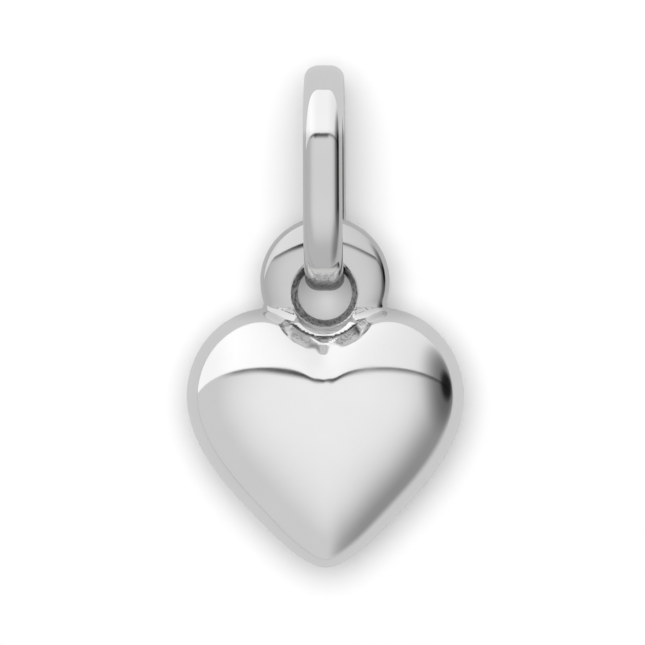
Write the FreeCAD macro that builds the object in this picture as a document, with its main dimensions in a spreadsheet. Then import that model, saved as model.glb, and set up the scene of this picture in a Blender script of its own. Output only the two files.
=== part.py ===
import FreeCAD, Part

import math
import os

import Sketcher

# A small heart charm that hangs from an oval bail ring, in millimetres.
# Two pieces: a puffed heart cast in one with its eyelet, and a closed bail that runs through the
# eyelet's hole. The origin is the seat of the chain, inside the top of the bail. X runs across the
# heart, Y through its thickness with the front at -Y, and Z up.

doc = FreeCAD.newDocument("HeartCharm")
V = FreeCAD.Vector

# Driving sizes

SIZES = {
    # the bail, a closed oval ring in the YZ plane
    "bail_height": 6.10,            # inside, along Z
    "bail_depth": 4.30,             # inside, along Y
    "wire_width": 1.26,             # along X
    "wire_thickness": 0.60,
    "wire_outer_round": 0.38,
    "wire_inner_round": 0.20,
    # the eyelet, a crowned disc with a flared hole
    "eyelet_radius": 2.10,
    "eyelet_thickness": 1.25,
    "eyelet_flat_radius": 0.85,     # where the crown of the face begins
    "eyelet_rim_radius": 0.45,      # of the rounding at its edge
    "hole_radius": 0.875,           # at the waist, in the middle of the thickness
    "hole_mouth_radius": 1.12,      # at the faces
    "hole_drop": 0.37,              # of the hole's centre below the eyelet's
    "hanging_gap": 0.20,            # between the wire and the top of the hole's waist
    # the heart
    "heart_width": 9.00,
    "heart_thickness": 3.90,
    "lobe_rise": 2.95,              # top of the lobes above the widest line
    "lobe_spacing": 3.90,           # between the tops of the two lobes
    "cleft_rise": 1.90,             # bottom of the cleft above the widest line
    "tip_drop": 5.47,               # tip below the widest line
    "eyelet_rise": 3.84,            # eyelet's centre above the widest line
    # the neck: flat and wide inside the eyelet at its top, and round in the cleft at its foot
    "neck_top_drop": 0.94,          # below the eyelet's centre
    "neck_side_inset": 0.38,        # of its sides inside the eyelet's edge
    "neck_face_inset": 0.05,        # of its front and back inside the eyelet's faces
    "neck_foot_drop": 0.80,         # below the bottom of the cleft
    "neck_foot_inset": 0.30,        # of its front and back inside the heart's faces
    "crown_rise": 0.10,             # thickest point above the widest line
    "junction_round": 0.30,         # fillet where the eyelet grows out of the heart
    # the outline's in-between points, as shares of half the width and of the tip's drop
    "tip_shoulder_reach": 0.185,
    "tip_shoulder_drop": 0.938,
    "low_flank_reach": 0.49,
    "low_flank_drop": 0.710,
    "high_flank_reach": 0.815,
    "high_flank_drop": 0.400,
    # a point between the lobe's top and the cleft, as shares of the way to each
    "inner_lobe_reach": 0.42,
    "inner_lobe_rise": 0.55,
    # how full the dome is: 0.55 is an ellipse, more is squarer and less is more pointed
    "rim_fullness": 0.58,
    "side_slope": 0.56,
    "tip_slope": 0.42,
    "lobe_slope": 0.42,
    "cleft_fade": 0.50,
}

sheet = doc.addObject("Spreadsheet::Sheet", "Sizes")
for line, (alias, value) in enumerate(SIZES.items(), start=1):
    sheet.set(f"A{line}", alias)
    sheet.set(f"B{line}", str(value))
    sheet.setAlias(f"B{line}", alias)
doc.recompute()


def size(alias):
    """A driving size, as the sheet holds it now."""
    return float(getattr(sheet, alias))


def origin_plane(body, role):
    """One of a body's own origin planes."""
    return next(f for f in body.Origin.OriginFeatures if f.Role == role)


def sketch_on(body, role, name):
    """A sketch on one of a body's own origin planes."""
    sketch = body.newObject("Sketcher::SketchObject", name)
    sketch.AttachmentSupport = [(origin_plane(body, role), "")]
    sketch.MapMode = "FlatFace"
    return sketch


def bound(sketch, kind, where, value, name, expression):
    """A dimension of a sketch, named and tied to the sheet."""
    number = sketch.addConstraint(Sketcher.Constraint(kind, *where, value))
    sketch.renameConstraint(number, name)
    sketch.setExpression(f"Constraints.{name}", expression)


def edges_where(shape, test):
    """Names of the edges of a shape whose ends and middle all pass a test."""
    names = []
    for number, edge in enumerate(shape.Edges, start=1):
        first, last = edge.FirstParameter, edge.LastParameter
        if all(test(edge.valueAt(u)) for u in (first, (first + last) / 2, last)):
            names.append(f"Edge{number}")
    return names


# Bail: an oval of two half circles and two straight legs, bent from flat wire with rounded edges

def oval(sketch, name, half_depth, leg, depth_expression):
    """A closed oval, long along the sketch's y axis, with its top arc's centre below the origin."""
    top, low = -size("bail_depth") / 2, -size("bail_depth") / 2 - leg
    up = sketch.addGeometry(
        Part.ArcOfCircle(Part.Circle(V(0, top, 0), V(0, 0, 1), half_depth), 0, math.pi))
    left = sketch.addGeometry(
        Part.LineSegment(V(-half_depth, top, 0), V(-half_depth, low, 0)))
    down = sketch.addGeometry(
        Part.ArcOfCircle(Part.Circle(V(0, low, 0), V(0, 0, 1), half_depth), math.pi, 2 * math.pi))
    right = sketch.addGeometry(
        Part.LineSegment(V(half_depth, low, 0), V(half_depth, top, 0)))
    sketch.addConstraint([
        Sketcher.Constraint("Tangent", up, 2, left, 1),
        Sketcher.Constraint("Tangent", left, 2, down, 1),
        Sketcher.Constraint("Tangent", down, 2, right, 1),
        Sketcher.Constraint("Tangent", right, 2, up, 1),
        Sketcher.Constraint("Vertical", left),
        Sketcher.Constraint("PointOnObject", up, 3, -2),
    ])
    bound(sketch, "Radius", (up,), half_depth, f"{name}_end", depth_expression)
    bound(sketch, "DistanceY", (left, 2, left, 1), leg, f"{name}_leg",
          "Sizes.bail_height - Sizes.bail_depth")
    bound(sketch, "DistanceY", (up, 3, -1, 1), size("bail_depth") / 2, f"{name}_seat",
          "Sizes.bail_depth / 2")


def make_bail():
    inner_end = size("bail_depth") / 2
    leg = size("bail_height") - size("bail_depth")
    body = doc.addObject("PartDesign::Body", "bail_ring")
    outline = sketch_on(body, "YZ_Plane", "bail_outline")
    oval(outline, "inside", inner_end, leg, "Sizes.bail_depth / 2")
    oval(outline, "outside", inner_end + size("wire_thickness"), leg,
         "Sizes.bail_depth / 2 + Sizes.wire_thickness")

    band = body.newObject("PartDesign::Pad", "bail_band")
    band.Profile = outline
    band.Midplane = True
    band.setExpression("Length", "Sizes.wire_width")
    doc.recompute()

    def outside_oval(p):
        """How far a point lies outside the bail's inside oval."""
        beyond = max(0.0, abs(p.z + size("bail_height") / 2) - leg / 2)
        return math.hypot(p.y, beyond) - inner_end

    def on_flat_side(p):
        return abs(abs(p.x) - size("wire_width") / 2) < 1e-6

    middle = size("wire_thickness") / 2
    outer = body.newObject("PartDesign::Fillet", "outer_edges")
    outer.Base = (band, edges_where(
        band.Shape, lambda p: on_flat_side(p) and outside_oval(p) > middle))
    outer.setExpression("Radius", "Sizes.wire_outer_round")
    doc.recompute()
    inner = body.newObject("PartDesign::Fillet", "inner_edges")
    inner.Base = (outer, edges_where(
        outer.Shape, lambda p: on_flat_side(p) and outside_oval(p) < 1e-6))
    inner.setExpression("Radius", "Sizes.wire_inner_round")
    doc.recompute()
    return body


# Heart: a puffed dome on each side of one heart-shaped outline

def heart_outline():
    """The rim as a closed smooth curve, from the tip up the right side, and its points."""
    half, rise, drop = size("heart_width") / 2, size("lobe_rise"), size("tip_drop")
    lobe, cleft = size("lobe_spacing") / 2, size("cleft_rise")
    right = [
        V(half * size("tip_shoulder_reach"), 0, -drop * size("tip_shoulder_drop")),
        V(half * size("low_flank_reach"), 0, -drop * size("low_flank_drop")),
        V(half * size("high_flank_reach"), 0, -drop * size("high_flank_drop")),
        V(half, 0, 0),
        V(lobe + (half - lobe) * math.cos(math.pi / 4), 0, rise * math.sin(math.pi / 4)),
        V(lobe, 0, rise),
        V(lobe * size("inner_lobe_reach"), 0, cleft + (rise - cleft) * size("inner_lobe_rise")),
    ]
    left = [V(-p.x, 0, p.z) for p in reversed(right)]
    rim = Part.BSplineCurve()
    rim.interpolate(Points=[V(0, 0, -drop)] + right + [V(0, 0, cleft)] + left, PeriodicFlag=True)
    return rim


def heart_half(side):
    """The dome over the whole outline on one side of it: -1 is the front, 1 the back.

    Each point of the rim is carried to the crown along a curve that leaves the rim square to the
    middle plane and arrives level at the crown. The crown's handle is shorter towards the tip and
    the lobes, which slope more evenly, and the cleft fades out below it.
    """
    rim = heart_outline()
    half_thickness, crown = size("heart_thickness") / 2, V(0, 0, size("crown_rise"))
    rise, drop, lobe = size("lobe_rise"), size("tip_drop"), size("lobe_spacing") / 2
    poles = []
    for p in rim.getPoles():
        inner = V(p)
        if abs(p.x) < lobe and p.z > 0:
            inner.z += size("cleft_fade") * (rise - p.z)
        end, there = (size("lobe_slope"), p.z / rise) if p.z > 0 else (size("tip_slope"), p.z / drop)
        handle = size("side_slope") + (end - size("side_slope")) * min(1.0, there ** 2)
        level = crown + (inner - crown) * handle
        poles.append([
            V(p.x, 0, p.z),
            V(p.x, side * half_thickness * size("rim_fullness"), p.z),
            V(level.x, side * half_thickness, level.z),
            V(0, side * half_thickness, crown.z),
        ])
    dome = Part.BSplineSurface()
    dome.buildFromPolesMultsKnots(
        poles, rim.getMultiplicities(), [4, 4], rim.getKnots(), [0.0, 1.0],
        rim.isPeriodic(), False, rim.Degree, 3)
    return dome.toShape()


def make_puffed_body():
    """Both domes, closed along the rim."""
    shell = Part.makeShell([heart_half(-1), heart_half(1)])
    shell.sewShape()
    solid = Part.makeSolid(shell)
    if solid.Volume < 0:
        solid.reverse()
    puffed = doc.addObject("Part::Feature", "puffed_body")
    puffed.Shape = solid
    return puffed


def make_eyelet():
    """A disc about the Y axis: flat in the middle, crowned outwards, with a rounded rim."""
    body = doc.addObject("PartDesign::Body", "eyelet_disc")
    half = sketch_on(body, "XY_Plane", "eyelet_section")
    flat, thick = size("eyelet_flat_radius"), size("eyelet_thickness") / 2
    outer, rim = size("eyelet_radius"), size("eyelet_rim_radius")
    # the crown's arc runs from the flat to the rim's arc, and is tangent to both
    reach = outer - rim - flat
    crown = (reach ** 2 + thick ** 2 - rim ** 2) / (2 * (thick - rim))
    rim_centre, crown_centre = V(outer - rim, 0, 0), V(flat, thick - crown, 0)
    meet = math.atan2(rim_centre.y - crown_centre.y, rim_centre.x - crown_centre.x)
    turn = V(math.cos(meet), math.sin(meet), 0)
    axis = half.addGeometry(Part.LineSegment(V(0, 0, 0), V(0, thick, 0)))
    face = half.addGeometry(Part.LineSegment(V(0, thick, 0), V(flat, thick, 0)))
    crowned = half.addGeometry(
        Part.ArcOfCircle(Part.Circle(crown_centre, V(0, 0, 1), crown), meet, math.pi / 2))
    rounded = half.addGeometry(
        Part.ArcOfCircle(Part.Circle(rim_centre, V(0, 0, 1), rim), 0, meet))
    middle = half.addGeometry(Part.LineSegment(V(outer, 0, 0), V(0, 0, 0)))
    half.addConstraint([
        Sketcher.Constraint("Coincident", axis, 1, -1, 1),
        Sketcher.Constraint("Coincident", axis, 2, face, 1),
        Sketcher.Constraint("Tangent", face, 2, crowned, 2),
        Sketcher.Constraint("Tangent", crowned, 1, rounded, 2),
        Sketcher.Constraint("Perpendicular", rounded, 1, middle, 1),
        Sketcher.Constraint("Coincident", middle, 2, axis, 1),
        Sketcher.Constraint("Vertical", axis),
        Sketcher.Constraint("Horizontal", face),
        Sketcher.Constraint("Horizontal", middle),
    ])
    bound(half, "DistanceY", (axis, 1, axis, 2), thick, "half_thickness",
          "Sizes.eyelet_thickness / 2")
    bound(half, "DistanceX", (face, 1, face, 2), flat, "flat_radius", "Sizes.eyelet_flat_radius")
    bound(half, "DistanceX", (middle, 2, middle, 1), outer, "outer_radius", "Sizes.eyelet_radius")
    bound(half, "Radius", (rounded,), rim, "rim_radius", "Sizes.eyelet_rim_radius")

    turned = body.newObject("PartDesign::Revolution", "front_half")
    turned.Profile = half
    turned.ReferenceAxis = (half, ["V_Axis"])
    turned.Angle = 360
    doc.recompute()
    mirrored = body.newObject("PartDesign::Mirrored", "back_half")
    mirrored.Originals = [turned]
    mirrored.MirrorPlane = (origin_plane(body, "XZ_Plane"), [""])
    body.Tip = mirrored
    body.setExpression("Placement.Base.z", "Sizes.eyelet_rise")
    return body


def make_hole():
    """The space of the hole: waisted in the middle, flaring in an arc to both faces."""
    body = doc.addObject("PartDesign::Body", "hole_space")
    half = sketch_on(body, "XY_Plane", "hole_section")
    waist, mouth = size("hole_radius"), size("hole_mouth_radius")
    thick, far = size("eyelet_thickness") / 2, size("heart_thickness")
    flare = (thick ** 2 + (mouth - waist) ** 2) / (2 * (mouth - waist))
    end = math.asin(thick / flare)
    axis = half.addGeometry(Part.LineSegment(V(0, 0, 0), V(0, far, 0)))
    top = half.addGeometry(Part.LineSegment(V(0, far, 0), V(mouth, far, 0)))
    side = half.addGeometry(Part.LineSegment(V(mouth, far, 0), V(mouth, thick, 0)))
    arc = half.addGeometry(Part.ArcOfCircle(
        Part.Circle(V(waist + flare, 0, 0), V(0, 0, 1), flare), math.pi - end, math.pi))
    middle = half.addGeometry(Part.LineSegment(V(waist, 0, 0), V(0, 0, 0)))
    half.addConstraint([
        Sketcher.Constraint("Coincident", axis, 1, -1, 1),
        Sketcher.Constraint("Coincident", axis, 2, top, 1),
        Sketcher.Constraint("Coincident", top, 2, side, 1),
        Sketcher.Constraint("Coincident", side, 2, arc, 1),
        Sketcher.Constraint("Perpendicular", arc, 2, middle, 1),
        Sketcher.Constraint("Coincident", middle, 2, axis, 1),
        Sketcher.Constraint("Vertical", axis),
        Sketcher.Constraint("Horizontal", top),
        Sketcher.Constraint("Vertical", side),
        Sketcher.Constraint("Horizontal", middle),
    ])
    bound(half, "DistanceY", (axis, 1, axis, 2), far, "reach", "Sizes.heart_thickness")
    bound(half, "DistanceX", (top, 1, top, 2), mouth, "mouth", "Sizes.hole_mouth_radius")
    bound(half, "DistanceY", (middle, 1, side, 2), thick, "depth", "Sizes.eyelet_thickness / 2")
    bound(half, "DistanceX", (middle, 2, middle, 1), waist, "waist", "Sizes.hole_radius")

    turned = body.newObject("PartDesign::Revolution", "front_flare")
    turned.Profile = half
    turned.ReferenceAxis = (half, ["V_Axis"])
    turned.Angle = 360
    doc.recompute()
    mirrored = body.newObject("PartDesign::Mirrored", "back_flare")
    mirrored.Originals = [turned]
    mirrored.MirrorPlane = (origin_plane(body, "XZ_Plane"), [""])
    body.Tip = mirrored
    body.setExpression("Placement.Base.z", "Sizes.eyelet_rise - Sizes.hole_drop")
    return body


def make_neck():
    """A loft through level ellipses that swells in a cove from the eyelet down into the cleft."""
    top_rise = "(Sizes.eyelet_rise - Sizes.neck_top_drop)"
    foot_rise = "(Sizes.cleft_rise - Sizes.neck_foot_drop)"
    side = "(sqrt(Sizes.eyelet_radius ^ 2 - Sizes.neck_top_drop ^ 2) - Sizes.neck_side_inset)"
    face = "(Sizes.eyelet_thickness / 2 - Sizes.neck_face_inset)"
    foot = "(Sizes.heart_thickness / 2 - Sizes.neck_foot_inset)"
    levels = 5
    sections = []
    for level in range(levels):
        down = level / (levels - 1)
        swell = down ** 2
        ellipse = doc.addObject("Part::Ellipse", f"neck_section_{level + 1}")
        ellipse.setExpression("MajorRadius", f"{side} * {1 - swell} + {foot} * {swell}")
        ellipse.setExpression("MinorRadius", f"{face} * {1 - swell} + {foot} * {swell}")
        ellipse.setExpression("Placement.Base.z", f"{top_rise} * {1 - down} + {foot_rise} * {down}")
        sections.append(ellipse)
    neck = doc.addObject("Part::Loft", "neck")
    neck.Sections = sections
    neck.Solid = True
    neck.Ruled = False
    return neck


def edges_between(joined, pieces):
    """Numbers of the edges of a joined shape where the surfaces of two of its pieces meet."""
    shells = [piece.Shape.Shells[0] for piece in pieces]
    numbers = []
    for number, edge in enumerate(joined.Edges, start=1):
        first, last = edge.FirstParameter, edge.LastParameter
        points = [Part.Vertex(edge.valueAt(first + (last - first) * k)) for k in (0.1, 0.5, 0.9)]
        on = [all(shell.distToShape(p)[0] < 1e-4 for p in points) for shell in shells]
        if sum(on) > 1:
            numbers.append(number)
    return numbers


def make_heart():
    """The whole casting: dome, neck and eyelet in one, softly blended, with the hole through."""
    pieces = [make_puffed_body(), make_eyelet(), make_neck()]
    joined = doc.addObject("Part::MultiFuse", "joined_casting")
    joined.Shapes = pieces
    doc.recompute()
    blended = doc.addObject("Part::Fillet", "blended_casting")
    blended.Base = joined
    # the fillet takes at most half of the metal between the hole's mouth and the eyelet's edge
    web = size("eyelet_radius") - size("hole_mouth_radius") - size("hole_drop")
    radius = min(size("junction_round"), web / 2)
    blended.Edges = [(n, radius, radius) for n in edges_between(joined.Shape, pieces)]
    heart = doc.addObject("Part::Cut", "heart")
    heart.Base = blended
    heart.Tool = make_hole()
    heart.setExpression(
        "Placement.Base.z",
        "Sizes.hanging_gap - Sizes.bail_height - Sizes.hole_radius"
        " - Sizes.eyelet_rise + Sizes.hole_drop")
    return heart


# Document: both pieces, checked and written one to a file

NODES = [make_bail(), make_heart()]
doc.recompute()

for item in doc.Objects:
    if "Invalid" in item.State or "Error" in item.State:
        raise RuntimeError(f"{item.Name} could not be worked out: {item.State}")
for node in NODES:
    node.Label = node.Name
    if node.Shape.isNull() or not node.Shape.isValid():
        raise RuntimeError(f"{node.Label} has no valid shape")

os.makedirs("parts", exist_ok=True)
for node in NODES:
    node.Shape.exportStep(f"parts/{node.Label}.step")
    print(node.Label, round(node.Shape.Volume, 3), "mm3,", len(node.Shape.Solids), "solid")
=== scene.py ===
import math

import bpy
import numpy as np
from mathutils import Matrix, Vector
from mathutils.bvhtree import BVHTree


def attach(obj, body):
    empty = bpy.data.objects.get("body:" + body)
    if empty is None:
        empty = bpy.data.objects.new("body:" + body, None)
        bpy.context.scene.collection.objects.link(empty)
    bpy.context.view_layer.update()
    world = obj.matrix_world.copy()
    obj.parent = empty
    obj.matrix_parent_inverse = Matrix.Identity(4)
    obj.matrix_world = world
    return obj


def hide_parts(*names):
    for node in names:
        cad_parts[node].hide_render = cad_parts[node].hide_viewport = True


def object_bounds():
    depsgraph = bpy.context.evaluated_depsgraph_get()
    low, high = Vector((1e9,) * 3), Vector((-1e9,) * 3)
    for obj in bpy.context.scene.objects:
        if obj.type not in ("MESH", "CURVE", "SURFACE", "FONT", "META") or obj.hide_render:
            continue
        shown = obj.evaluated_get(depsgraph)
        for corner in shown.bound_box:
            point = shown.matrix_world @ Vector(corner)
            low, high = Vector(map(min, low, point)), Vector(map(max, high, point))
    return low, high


# A small puffed heart charm in polished silver, hanging from an oval bail ring.
# Everything is in metres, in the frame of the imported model: X across the heart, Y through its
# thickness with the front at -Y, Z up, and the origin inside the top of the bail.

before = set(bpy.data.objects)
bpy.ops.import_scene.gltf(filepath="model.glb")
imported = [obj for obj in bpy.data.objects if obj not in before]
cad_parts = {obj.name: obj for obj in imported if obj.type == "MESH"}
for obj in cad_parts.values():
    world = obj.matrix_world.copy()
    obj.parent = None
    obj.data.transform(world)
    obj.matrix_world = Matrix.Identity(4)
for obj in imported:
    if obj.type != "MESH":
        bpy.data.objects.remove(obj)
frame_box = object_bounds()
mm = 0.001


# Bail ring
# A closed oval of flat silver wire, whose outside is well rounded at its edges. It is bent round
# the eyelet, soldered shut at the bottom and polished with the rest.

bail_height = 6.10 * mm         # inside
bail_depth = 4.30 * mm          # inside
wire_width = 1.26 * mm
wire_thickness = 0.60 * mm
wire_outer_round = (0.46 * mm, 0.38 * mm)       # across the wire, and through it
wire_inner_round = (0.20 * mm, 0.20 * mm)
# The legs' darker grey is painted shade, which dims what they mirror; the bend keeps the silver's own
# grey.
leg_painted_shade_grey, bend_grey = 0.68, 0.90
bend_end, bend_fade = -1.40 * mm, 0.35 * mm     # how low the brighter bend reaches, and its edge
solder_top, solder_edge = 0.15 * mm, 0.40 * mm  # above the inside's bottom, and its edge
solder_dullness = 0.6

# The finish of the silver, alike on the bail and the heart
haze_scale, pit_scale, hairline_scale = 900.0, 9000.0, 26000.0      # grains to the metre
hairline_squeeze = (1.0, 1.0, 0.06)     # draws the grains out into lines
hairline_tilt = (0.0, 0.5, 0.0)
hairline_height = 0.004                 # where a pit's depth is 1
relief_height = 0.03 * mm
buffed_roughness, haze_roughness, dull_roughness = 0.05, 0.05, 0.25
haze_light, pit_dark = 0.02, 0.5
blue_share = 0.995                      # silver is faintly warm


class Socket:
    """An output socket of a node tree that does sums: each operator adds the node it needs."""

    def __init__(self, tree, output):
        self.tree, self.output = tree, output

    def node(self, kind, settings, inputs, output=0):
        """An output of a new node, which gets its settings, then its sockets' values or links."""
        made = self.tree.nodes.new(kind)
        for name, value in settings.items():
            setattr(made, name, value)
        for name, value in inputs.items():
            if isinstance(value, Socket):
                self.tree.links.new(value.output, made.inputs[name])
            else:
                made.inputs[name].default_value = value
        return Socket(self.tree, made.outputs[output])

    def maths(self, operation, *others):
        """A Math node of this value and the others."""
        inputs = dict(enumerate((self,) + others))
        return self.node("ShaderNodeMath", {"operation": operation}, inputs)

    def __neg__(self):
        return self.maths("MULTIPLY", -1.0)

    def __abs__(self):
        return self.maths("ABSOLUTE")

    def __add__(self, other):
        return self.maths("ADD", other)

    def __sub__(self, other):
        return self.maths("SUBTRACT", other)

    def __rsub__(self, other):
        return -self + other

    def __mul__(self, other):
        return self.maths("MULTIPLY", other)

    def __truediv__(self, other):
        return self.maths("DIVIDE", other)

    __radd__, __rmul__ = __add__, __mul__

    def part(self, axis):
        """One of a vector's three parts."""
        return self.node("ShaderNodeSeparateXYZ", {}, {"Vector": self}, output=axis)

    def ramp(self, low, high):
        """0 below low, 1 above high and smooth between."""
        return self.node("ShaderNodeMapRange", {"interpolation_type": "SMOOTHSTEP"},
                         {"Value": self, "From Min": low, "From Max": high})


def polished_silver(name, grey_and_painted_shade, as_cast):
    """Silver buffed to a mirror, with the faint haze and hairlines that buffing leaves.

    Where the buff can't reach, as_cast of a place is 1 and the metal stays pitted and dull.
    """
    silver = bpy.data.materials.new(name)
    silver.use_nodes = True
    tree = silver.node_tree
    shader = tree.nodes["Principled BSDF"]
    place = Socket(tree, tree.nodes.new("ShaderNodeTexCoord").outputs["Object"])
    drawn_out = place.node("ShaderNodeMapping", {}, {
        "Vector": place, "Scale": hairline_squeeze, "Rotation": hairline_tilt})
    haze = place.node("ShaderNodeTexNoise", {}, {
        "Vector": place, "Scale": haze_scale, "Detail": 3.0})
    hairline = place.node("ShaderNodeTexNoise", {}, {
        "Vector": drawn_out, "Scale": hairline_scale, "Detail": 2.0})
    pits = place.node("ShaderNodeTexNoise", {}, {
        "Vector": place, "Scale": pit_scale, "Detail": 4.0})
    dull = as_cast(place)
    finish = place.node("ShaderNodeBump", {}, {
        "Height": hairline * hairline_height + pits * dull,
        "Strength": 1.0, "Distance": relief_height})
    rough = buffed_roughness + haze.ramp(0.35, 0.75) * haze_roughness + dull * dull_roughness
    # For the bail and the heart, this grey brings painted shade as well as the silver's own grey.
    shade = grey_and_painted_shade(place) + haze.ramp(0.3, 0.8) * haze_light - dull * pits.ramp(0.45, 0.65) * pit_dark
    tint = place.node("ShaderNodeCombineColor", {}, {0: shade, 1: shade, 2: shade * blue_share})
    for target, source in (("Roughness", rough), ("Base Color", tint), ("Normal", finish)):
        tree.links.new(source.output, shader.inputs[target])
    shader.inputs["Metallic"].default_value = 1.0
    return silver


def shown(name, vertices, faces, normals, material):
    """A smooth mesh object with its own exact normals."""
    mesh = bpy.data.meshes.new(name)
    mesh.from_pydata(vertices.tolist(), [], faces.tolist())
    mesh.polygons.foreach_set("use_smooth", [True] * len(mesh.polygons))
    mesh.normals_split_custom_set_from_vertices(normals.tolist())
    mesh.materials.append(material)
    piece = bpy.data.objects.new(name, mesh)
    bpy.context.scene.collection.objects.link(piece)
    return piece


def wire_section(corner_steps):
    """Points (across, outwards) round the wire, and the normals there, in quarter ellipses."""
    half = wire_width / 2
    corners = [     # the side it is on, its middle's height, its two radii, and its first half turn
        (1, wire_thickness - wire_outer_round[1], wire_outer_round, 0.0),
        (-1, wire_thickness - wire_outer_round[1], wire_outer_round, 0.5),
        (-1, wire_inner_round[1], wire_inner_round, 1.0),
        (1, wire_inner_round[1], wire_inner_round, 1.5),
    ]
    section = []
    for side, outwards, (width, height), start in corners:
        across = side * (half - width)
        for step in range(corner_steps + 1):
            turn = math.pi * (start + step / corner_steps / 2)
            normal = Vector((math.cos(turn) / width, math.sin(turn) / height)).normalized()
            section.append((across + width * math.cos(turn), outwards + height * math.sin(turn),
                            normal.x, normal.y))
    return np.array(section)


def oval_path(end_steps, leg_steps):
    """Points (y, z) all the way round the inside of the bail, with the way outwards at each."""
    end = bail_depth / 2
    top, low = -end, end - bail_height
    path = []
    for centre, start, side in ((top, 0.0, -1.0), (low, 1.0, 1.0)):
        for step in range(end_steps):
            turn = math.pi * (start + step / end_steps)
            path.append((end * math.cos(turn), centre + end * math.sin(turn),
                         math.cos(turn), math.sin(turn)))
        for step in range(leg_steps):
            along = step / leg_steps
            path.append((side * end, centre + (top + low - 2 * centre) * along, side, 0.0))
    return np.array(path)


section = wire_section(corner_steps=16)
path = oval_path(end_steps=160, leg_steps=60)
rows, columns = len(path), len(section)
reach = path[:, None, :2] + path[:, None, 2:] * section[None, :, 1:2]
ring_points = np.dstack([np.broadcast_to(section[:, 0], (rows, columns)), reach])
ring_normals = np.dstack([np.broadcast_to(section[:, 2], (rows, columns)),
                          path[:, None, 2:] * section[None, :, 3:4]])
number = np.arange(rows * columns).reshape(rows, columns)
ahead = np.roll(number, -1, axis=0)
ring_faces = np.dstack([number, np.roll(number, -1, axis=1), np.roll(ahead, -1, axis=1), ahead])


def soldered_end(place):
    """How dull the bottom of the bail is, where the solder and the eyelet keep the buff away."""
    solder_start = bail_height - solder_top
    return (-place.part(2)).ramp(solder_start, solder_start + solder_edge) * solder_dullness


def bail_painted_shade(place):
    """The bend at the top keeps the silver's own grey; the legs are painted darker, as painted shade
    that dims what they mirror.
    """
    bend = place.part(2).ramp(bend_end - bend_fade, bend_end)
    return leg_painted_shade_grey + (bend_grey - leg_painted_shade_grey) * bend


bail_silver = polished_silver("bail_silver", bail_painted_shade, soldered_end)
bail = shown("bail", ring_points.reshape(-1, 3), ring_faces.reshape(-1, 4),
             ring_normals.reshape(-1, 3), bail_silver)
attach(bail, "bail")
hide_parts("bail_ring")


# Heart charm
# One casting in silver: a heart puffed on both faces, a coved neck in its cleft and a crowned
# eyelet with a flared hole. All its edges were softened by tumbling and buffing.

heart_width, heart_thickness = 9.00 * mm, 3.90 * mm
lobe_rise, lobe_spacing = 2.95 * mm, 3.90 * mm
cleft_rise, tip_drop = 1.90 * mm, 5.47 * mm
tip_shoulder_reach, tip_shoulder_drop = 0.185, 0.938    # shares of half the width and of tip_drop
low_flank_reach, low_flank_drop = 0.49, 0.710
high_flank_reach, high_flank_drop = 0.815, 0.400
inner_lobe_reach, inner_lobe_rise = 0.42, 0.55          # shares of the way to the lobe's top
crown_rise = 0.10 * mm          # of the dome's top above the heart's widest line
cleft_fade = 0.50               # the share of the cleft that fades out towards the top
rim_fullness = 0.58             # how steeply the dome leaves its rim
side_slope, end_slope, cleft_slope = 0.56, 0.42, 0.74   # how near its rim it goes level
cleft_reach = 0.2               # the share of a lobe that counts as the cleft's bottom

eyelet_rise, eyelet_radius, eyelet_thickness = 3.84 * mm, 2.10 * mm, 1.25 * mm
eyelet_flat_radius, eyelet_rim_radius = 0.85 * mm, 0.45 * mm
hole_radius, hole_mouth_radius, hole_drop = 0.875 * mm, 1.12 * mm, 0.37 * mm
hanging_gap = 0.20 * mm
neck_top_drop, neck_foot_drop = 0.94 * mm, 1.05 * mm
neck_side_inset, neck_face_inset, neck_foot_side = 0.38 * mm, 0.05 * mm, 1.00 * mm
neck_knee_rise, neck_slope, neck_cove = 2.75 * mm, 0.57, 0.15 * mm
neck_power = 4                  # of its section, where 2 is an ellipse and more is squarer

neck_round = 0.15 * mm          # where the eyelet flows into its neck
junction_round = 0.30 * mm      # where both flow into the lobes
valley_round = 0.55 * mm        # more than that under the hole, between the lobes
foot_round = 0.04               # the share of it that is left at the neck's foot
mouth_round = 0.05 * mm         # the worn edge of the hole
heart_grey = 0.90
# The eyelet's greyer tone is painted shade, which dims what it mirrors.
eyelet_painted_shade = 0.24
painted_shade_low, painted_shade_high = 2.5 * mm, 3.0 * mm          # where on the neck it comes in
wall_edge = 0.06 * mm           # over which the hole's wall turns bright at its mouth
widest_line = hanging_gap - bail_height - hole_radius - eyelet_rise + hole_drop

cell = 0.06 * mm                # how fine the mesh is
table_step = 0.05 * mm          # how fine the dome's table is
table_margin = 8 * cell


def periodic_basis(knots, places):
    """Weights of a closed cubic B-spline's control points at some places along it."""
    count = len(knots) - 1
    period = knots[-1] - knots[0]
    line = np.array([knots[i % count] + period * (i // count) for i in range(-3, 2 * count + 5)])
    weights = np.zeros((len(places), len(line) - 1))
    weights[np.arange(len(places)), np.searchsorted(line, places, side="right") - 1] = 1.0
    for degree in (1, 2, 3):
        low, high = line[:-degree - 1], line[degree + 1:]
        up = (places[:, None] - low) / (line[degree:-1] - low)
        down = (high - places[:, None]) / (high - line[1:-degree])
        weights = up * weights[:, :-1] + down * weights[:, 1:]
    closed = np.zeros((len(places), count))
    for column in range(weights.shape[1]):
        closed[:, column % count] += weights[:, column]
    return closed


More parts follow.
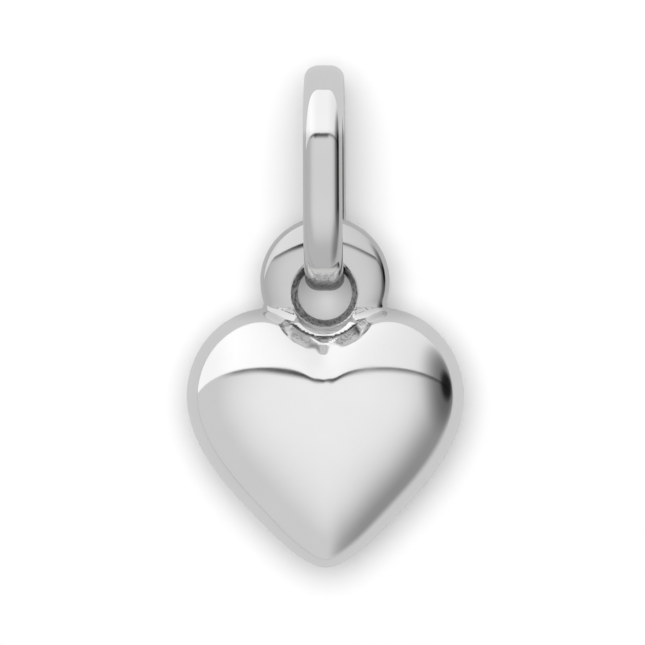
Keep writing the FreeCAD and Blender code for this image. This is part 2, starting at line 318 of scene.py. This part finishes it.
def heart_rim():
    """The heart's outline as the knots and control points (x, z) of a closed spline."""
    half, lobe = heart_width / 2, lobe_spacing / 2
    diagonal = math.cos(math.pi / 4)
    right = [
        (half * tip_shoulder_reach, -tip_drop * tip_shoulder_drop),
        (half * low_flank_reach, -tip_drop * low_flank_drop),
        (half * high_flank_reach, -tip_drop * high_flank_drop),
        (half, 0.0),
        (lobe + (half - lobe) * diagonal, lobe_rise * diagonal),
        (lobe, lobe_rise),
        (lobe * inner_lobe_reach, cleft_rise + (lobe_rise - cleft_rise) * inner_lobe_rise),
    ]
    left = [(-x, z) for x, z in reversed(right)]
    through = np.array([(0.0, -tip_drop)] + right + [(0.0, cleft_rise)] + left)
    gaps = np.hypot(*(np.roll(through, -1, axis=0) - through).T)
    knots = np.concatenate([[0.0], np.cumsum(gaps)])
    return knots, np.linalg.solve(periodic_basis(knots, knots[:-1]), through)


def dome_grid(around, inwards, outwards):
    """Points (x, squared depth, z) of one puffed face, from its crown out to its rim and beyond.

    The square of the depth falls straight through 0 at the rim, so it goes on outside.
    """
    knots, rim = heart_rim()
    x, z = rim.T
    crown = np.array([0.0, crown_rise])
    inner = rim.copy()
    cleft = (np.abs(x) < lobe_spacing / 2) & (z > 0)
    inner[cleft, 1] += cleft_fade * (lobe_rise - z[cleft])
    there = np.where(z > 0, z / lobe_rise, z / tip_drop)
    handle = side_slope + (end_slope - side_slope) * np.minimum(1.0, there ** 2)
    handle[(np.abs(x) < cleft_reach * lobe_spacing / 2) & (z > 0)] = cleft_slope
    level = crown + (inner - crown) * handle[:, None]
    weights = periodic_basis(knots, np.linspace(0.0, knots[-1], around, endpoint=False))
    rim, level = weights @ rim, weights @ level
    step = np.linspace(1.0, 0.0, inwards)[:, None, None]
    at_rim = (1 - step) ** 2 * (1 + 2 * step)
    above_rim, at_level, at_crown = 3 * step * (1 - step) ** 2, 3 * step ** 2 * (1 - step), step ** 3
    inside = at_rim * rim + at_level * level + at_crown * crown
    half = heart_thickness / 2
    depth = half * (above_rim * rim_fullness + at_level + at_crown)
    past = np.linspace(0.0, 0.5, outwards)[1:, None, None]
    outside = rim + (rim - level) * past
    square = np.vstack([depth ** 2, -3 * (half * rim_fullness) ** 2 * past])
    outline = np.concatenate([inside, outside])
    square = np.broadcast_to(square, outline[..., :1].shape)
    return np.concatenate([outline[..., :1], square, outline[..., 1:]], axis=2)


class DomeTable:
    """The square of the dome's depth over a grid in x and z: smooth across the rim, where it is 0."""

    def __init__(self):
        dome = dome_grid(around=1440, inwards=200, outwards=30) / (mm, mm * mm, mm)
        rows, columns = dome.shape[:2]
        number = np.arange(rows * columns).reshape(rows, columns)
        turned = np.roll(number, -1, axis=1)
        faces = np.dstack([number[:-1], turned[:-1], turned[1:], number[1:]]).reshape(-1, 4)
        surface = BVHTree.FromPolygons(dome.reshape(-1, 3).tolist(), faces.tolist())
        self.low = np.array([-heart_width / 2, -tip_drop]) - table_margin
        high = np.array([heart_width / 2, lobe_rise]) + table_margin
        self.size = np.ceil((high - self.low) / table_step).astype(int) + 1
        self.table = np.full(self.size, dome[..., 1].min() * mm * mm)
        above, down = 2 * dome[..., 1].max(), Vector((0.0, -1.0, 0.0))
        for i in range(self.size[0]):
            for j in range(self.size[1]):
                x, z = (self.low + np.array([i, j]) * table_step) / mm
                hit = surface.ray_cast(Vector((x, above, z)), down)[0]
                if hit:
                    self.table[i, j] = hit.y * mm * mm

    def __call__(self, x, z):
        """The table between its grid points, by cubic interpolation both ways."""
        across = np.stack([x - self.low[0], z - self.low[1]]) / table_step
        across = np.clip(across, 1.0, self.size[:, None] - 3.001)
        base = np.floor(across).astype(int)
        part = across - base
        weights = [
            ((2 - part) * part - 1) * part / 2,
            ((3 * part - 5) * part * part + 2) / 2,
            ((4 - 3 * part) * part + 1) * part / 2,
            (part - 1) * part * part / 2,
        ]
        return sum(
            weights[i][0] * weights[j][1] * self.table[base[0] + i - 1, base[1] + j - 1]
            for i in range(4) for j in range(4))


dome_depth_squared = DomeTable()


def outside_dome(x, y, z):
    """Distance outside the puffed heart, near its surface."""
    nudge = 0.02 * mm
    softening = 0.3 * mm        # keeps the slope above 0 where the dome is deepest
    square = dome_depth_squared(x, z)
    slope_x = (dome_depth_squared(x + nudge, z) - dome_depth_squared(x - nudge, z)) / (2 * nudge)
    slope_z = (dome_depth_squared(x, z + nudge) - dome_depth_squared(x, z - nudge)) / (2 * nudge)
    return (y * y - square) / np.sqrt(4 * y * y + slope_x ** 2 + slope_z ** 2 + softening ** 2)


def outside_eyelet(x, y, z):
    """Distance outside the eyelet, a disc with a flat middle, a crown and a rounded rim."""
    radius, depth = np.hypot(x, z - eyelet_rise), np.abs(y)
    thick, rim = eyelet_thickness / 2, eyelet_rim_radius
    rim_centre = eyelet_radius - rim
    reach = rim_centre - eyelet_flat_radius
    crown = (reach ** 2 + thick ** 2 - rim ** 2) / (2 * (thick - rim))
    crown_depth = thick - crown
    from_rim = np.hypot(radius - rim_centre, depth) - rim
    from_crown = np.hypot(radius - eyelet_flat_radius, depth - crown_depth) - crown
    over_rim = (radius - rim_centre) * -crown_depth > depth * reach
    return np.where(radius < eyelet_flat_radius, depth - thick,
                    np.where(over_rim, from_rim, from_crown))


def outside_neck(x, y, z):
    """Distance outside the neck, a tongue that narrows as it slopes down into the cleft."""
    top, foot = eyelet_rise - neck_top_drop, cleft_rise - neck_foot_drop
    side = math.sqrt(eyelet_radius ** 2 - neck_top_drop ** 2) - neck_side_inset
    wide = side + (neck_foot_side - side) * np.clip((top - z) / (top - foot), 0.0, 1.0)
    below = neck_knee_rise - z
    climb = neck_slope * (below + np.sqrt(below ** 2 + neck_cove ** 2)) / 2
    deep = eyelet_thickness / 2 - neck_face_inset + np.minimum(climb, heart_thickness / 2)
    power, core, least = neck_power, 0.2, 1e-6 / mm     # the last two keep the middle finite
    share = ((x / wide) ** power + (y / deep) ** power) ** (1 / power)
    steepness = np.hypot(x ** (power - 1) / wide ** power, y ** (power - 1) / deep ** power)
    away = (share - 1) * np.maximum(share, core) ** (power - 1) / (steepness + least)
    return np.maximum(away, np.maximum(z - top, foot - z))


def inside_hole(x, y, z):
    """Distance inside the hole, which flares in an arc from its waist to both faces."""
    thick = eyelet_thickness / 2
    flare = (thick ** 2 + (hole_mouth_radius - hole_radius) ** 2) / (
        2 * (hole_mouth_radius - hole_radius))
    depth = np.minimum(np.abs(y), flare * 0.9)      # past the faces, before the arc ends
    radius = hole_radius + flare - np.sqrt(flare ** 2 - depth ** 2)
    return radius - np.hypot(x, z - eyelet_rise + hole_drop)


def blended(first, second, rounding):
    """The lower of two distances, rounded where they are alike."""
    near = np.maximum(rounding - np.abs(first - second), 0.0)
    return np.minimum(first, second) - near ** 2 / (4 * rounding)


def smooth(share):
    """A share from 0 to 1 that starts and ends gently."""
    share = np.clip(share, 0.0, 1.0)
    return share * share * (3 - 2 * share)


def outside_heart(points):
    """Distance outside the whole casting, whose junctions sharpen down towards the neck's foot."""
    x, y, z = points.T
    stem = blended(outside_eyelet(x, y, z), outside_neck(x, y, z), neck_round)
    middle = smooth(1 - np.abs(x) / (lobe_spacing / 2))
    full = junction_round + (valley_round - junction_round) * middle
    up_neck = smooth((z - cleft_rise / 2) / (cleft_rise / 3))
    body = blended(outside_dome(x, y, z), stem, full * (foot_round + (1 - foot_round) * up_neck))
    return -blended(-body, -inside_hole(x, y, z), mouth_round)


def slope_of(distance, points):
    """The direction in which a distance grows, and how fast, at some points."""
    nudge = 0.008 * mm
    slope = np.empty_like(points)
    for axis in range(3):
        step = np.zeros(3)
        step[axis] = nudge
        slope[:, axis] = (distance(points + step) - distance(points - step)) / (2 * nudge)
    return slope


def skin(distance, low, high, rounds):
    """A closed mesh of quads where a distance is 0: one vertex in each grid cell it crosses.

    Each round moves the vertices nearer to the surface, by a cell at most.
    """
    size = np.ceil((high - low) / cell).astype(int) + 1
    axes = [low[i] + cell * np.arange(size[i]) for i in range(3)]
    layers = [distance(np.stack(np.meshgrid(x, *axes[1:], indexing="ij"), -1).reshape(-1, 3))
              for x in axes[0][:, None]]
    inside = np.array(layers).reshape(size) < 0
    count = sum(inside[i:size[0] - 1 + i, j:size[1] - 1 + j, k:size[2] - 1 + k].astype(int)
                for i in (0, 1) for j in (0, 1) for k in (0, 1))
    crossed = (count > 0) & (count < 8)
    number = np.full(crossed.shape, -1)
    number[crossed] = np.arange(crossed.sum())
    points = low + (np.argwhere(crossed) + 0.5) * cell
    faces = []
    for axis in range(3):
        one, two = (axis + 1) % 3, (axis + 2) % 3
        here = np.moveaxis(inside, (axis, one, two), (0, 1, 2))
        cells = np.moveaxis(number, (axis, one, two), (0, 1, 2))
        change = here[:-1, 1:-1, 1:-1] != here[1:, 1:-1, 1:-1]
        i, j, k = np.nonzero(change)
        ring = np.stack([cells[i, j, k], cells[i, j + 1, k],
                         cells[i, j + 1, k + 1], cells[i, j, k + 1]], axis=1)
        leaving = here[:-1, 1:-1, 1:-1][i, j, k]
        faces.append(np.where(leaving[:, None], ring, ring[:, ::-1]))
    for _ in range(rounds):
        slope = slope_of(distance, points)
        strength = np.maximum((slope ** 2).sum(1), 0.05)
        step = distance(points) / strength
        points = points - slope * np.clip(step, -cell, cell)[:, None]
    return points, np.vstack(faces)


margin = 0.3 * mm
heart_low = np.array([-heart_width / 2, -heart_thickness / 2, -tip_drop]) - margin
heart_high = np.array([heart_width / 2, heart_thickness / 2, eyelet_rise + eyelet_radius]) + margin
heart_points, heart_faces = skin(outside_heart, heart_low, heart_high, rounds=6)
heart_normals = slope_of(outside_heart, heart_points)
heart_normals /= np.linalg.norm(heart_normals, axis=1)[:, None]


def hole_wall(place):
    """1 on the wall of the eyelet's hole, which no buff reaches."""
    hole = widest_line + eyelet_rise - hole_drop
    x, z = place.part(0), place.part(2) - hole
    radius = (x * x + z * z).maths("SQRT")
    return 1.0 - radius.ramp(hole_mouth_radius - wall_edge, hole_mouth_radius)


def heart_grey_and_painted_shade(place):
    """The eyelet is painted a little greyer than the face: painted shade that dims what it mirrors.
    """
    painted_shade_on_eyelet = place.part(2).ramp(widest_line + painted_shade_low, widest_line + painted_shade_high)
    return heart_grey - painted_shade_on_eyelet * eyelet_painted_shade


heart_silver = polished_silver("heart_silver", heart_grey_and_painted_shade, hole_wall)
heart = shown("heart_casting", heart_points + (0.0, 0.0, widest_line), heart_faces,
              heart_normals, heart_silver)
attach(heart, "charm")
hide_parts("heart")


# Studio
# The charm is photographed from straight in front, against a pale sheet that it almost touches.
# It mirrors a bright wall in front, a white panel overhead with a dark strip along its edge, and
# dark cards at its right.

view_width = 20.88 * mm         # what the picture shows across at the charm
view_azimuth, view_elevation, view_roll = 1.5, 3.0, -0.2
lens, sensor = 250.0, 36.0
picture_width = 645
origin_pixel = (324.2, 83.9)    # where the picture shows the frame's origin

camera_data = bpy.data.cameras.new("camera")
camera_data.lens, camera_data.sensor_width = lens, sensor
camera_data.clip_start, camera_data.clip_end = 0.01, 10.0
camera = bpy.data.objects.new("camera", camera_data)
bpy.context.scene.collection.objects.link(camera)
bpy.context.scene.camera = camera
azimuth, elevation, roll = (math.radians(a) for a in (view_azimuth, view_elevation, view_roll))
back = Vector((math.sin(azimuth) * math.cos(elevation),
               -math.cos(azimuth) * math.cos(elevation), math.sin(elevation)))
turn = back.to_track_quat("Z", "Y").to_matrix() @ Matrix.Rotation(roll, 3, "Z")
right, up = turn.col[0], turn.col[1]
pixel = view_width / picture_width
target = (right * (picture_width / 2 - origin_pixel[0])
          - up * (picture_width / 2 - origin_pixel[1])) * pixel
camera.matrix_world = Matrix.Translation(target + back * view_width * lens / sensor) @ turn.to_4x4()

sheet_gap = 0.02 * mm
sheet_half = 0.25
seen_white = (0.98, 0.98, 0.98, 1.0)
mirrored_white = (0.62, 0.62, 0.62, 1.0)        # what the silver shows of the sheet round it
sheet = bpy.data.meshes.new("backing_sheet")
sheet.from_pydata([(-sheet_half, 0, -sheet_half), (sheet_half, 0, -sheet_half),
                   (sheet_half, 0, sheet_half), (-sheet_half, 0, sheet_half)], [], [(0, 1, 2, 3)])
backing = bpy.data.objects.new("backing_sheet", sheet)
backing.location.y = frame_box[1].y + sheet_gap
bpy.context.scene.collection.objects.link(backing)
paper = bpy.data.materials.new("backing_paper")
paper.use_nodes = True
tree = paper.node_tree
seen = Socket(tree, tree.nodes.new("ShaderNodeLightPath").outputs["Is Camera Ray"])
behind = Socket(tree, tree.nodes.new("ShaderNodeNewGeometry").outputs["Backfacing"])
front_side = seen.node("ShaderNodeMixShader", {}, {
    0: seen,
    1: seen.node("ShaderNodeBsdfDiffuse", {}, {"Color": mirrored_white}),
    2: seen.node("ShaderNodeBsdfDiffuse", {}, {"Color": seen_white})})
both_sides = seen.node("ShaderNodeMixShader", {}, {
    0: behind, 1: front_side, 2: seen.node("ShaderNodeBsdfTransparent", {}, {})})
tree.links.new(both_sides.output, tree.nodes["Material Output"].inputs["Surface"])
sheet.materials.append(paper)

lamp_distance, lamp_rise, lamp_width = 0.40, 0.045, 0.26
sheet_light = 0.75              # what the lamp alone gives the sheet, where 1 is white
lamp_data = bpy.data.lights.new("front_lamp", "AREA")
lamp_data.shape, lamp_data.size = "DISK", lamp_width
lamp_data.energy = sheet_light * math.pi ** 2 * (lamp_distance ** 2 + lamp_width ** 2 / 4)
lamp = bpy.data.objects.new("front_lamp", lamp_data)
lamp.location = (0.0, backing.location.y - lamp_distance, lamp_rise)
lamp_aim = Vector((0.0, lamp_distance, -lamp_rise))
lamp.rotation_euler = lamp_aim.to_track_quat("-Z", "Y").to_euler()
lamp.visible_glossy = lamp.visible_camera = False
bpy.context.scene.collection.objects.link(lamp)

wall_dim, wall_bright = 0.64, 0.90              # at the wall's edges, and straight in front
panel_white, panel_right_fall, panel_left_fall = 0.97, 0.20, 0.15
strip_left, strip_swell = 0.15, 0.05            # the strip is thickest a little left of the middle
strip_dark, strip_end_fall = 0.95, 0.20
right_card_dark, right_core_dark, low_card_dark = 0.60, 0.90, 0.55
fill_light = 0.30                               # what the sheet gets from all round
world = bpy.data.worlds.new("studio")
bpy.context.scene.world = world
world.use_nodes = True
tree = world.node_tree
looking = Socket(tree, tree.nodes.new("ShaderNodeTexCoord").outputs["Generated"])
sideways, facing, upward = looking.part(0), -looking.part(1), looking.part(2)
rise = upward / facing.maths("MAXIMUM", 0.02)


def towards(across, out, above):
    """How nearly the look goes in one direction: 1 if it does, and 0 at right angles to it."""
    return sideways * across + facing * out + upward * above


wall = wall_dim + facing.ramp(0.5, 1.0) * (wall_bright - wall_dim)
panel = panel_white - sideways * panel_right_fall - (-sideways).ramp(0.6, 0.95) * panel_left_fall
off_centre = abs(sideways + strip_left).ramp(0.0, 0.4)
strip = (rise + (1.0 - off_centre) * strip_swell).ramp(0.32, 0.43) * (1.0 - rise.ramp(0.44, 0.455))
strip = strip * (1.0 - (-sideways).ramp(0.6, 0.85)) * (strip_dark - off_centre * strip_end_fall)
right_card = towards(0.973, 0.208, 0.102)
low_card = towards(0.940, 0.0, -0.342).ramp(0.35, 0.85) * facing.ramp(-0.10, 0.17)
low_card = low_card * (1.0 - facing.ramp(0.30, 0.95))
mirrored = (wall + (panel - wall) * rise.ramp(0.45, 0.47)) * (1.0 - strip)
mirrored = mirrored * (1.0 - right_card.ramp(0.80, 1.0) * right_card_dark)
mirrored = mirrored * (1.0 - low_card * low_card_dark)
mirrored = mirrored * (1.0 - right_card.ramp(0.970, 0.995) * right_core_dark)
light_path = tree.nodes.new("ShaderNodeLightPath")
camera_ray = Socket(tree, light_path.outputs["Is Camera Ray"])
glossy_ray = Socket(tree, light_path.outputs["Is Glossy Ray"])
level = mirrored * glossy_ray + fill_light * (1.0 - glossy_ray)
level = level * (1.0 - camera_ray) + camera_ray
tree.links.new(level.output, tree.nodes["Background"].inputs["Color"])

bpy.context.scene.view_settings.view_transform = "Standard"
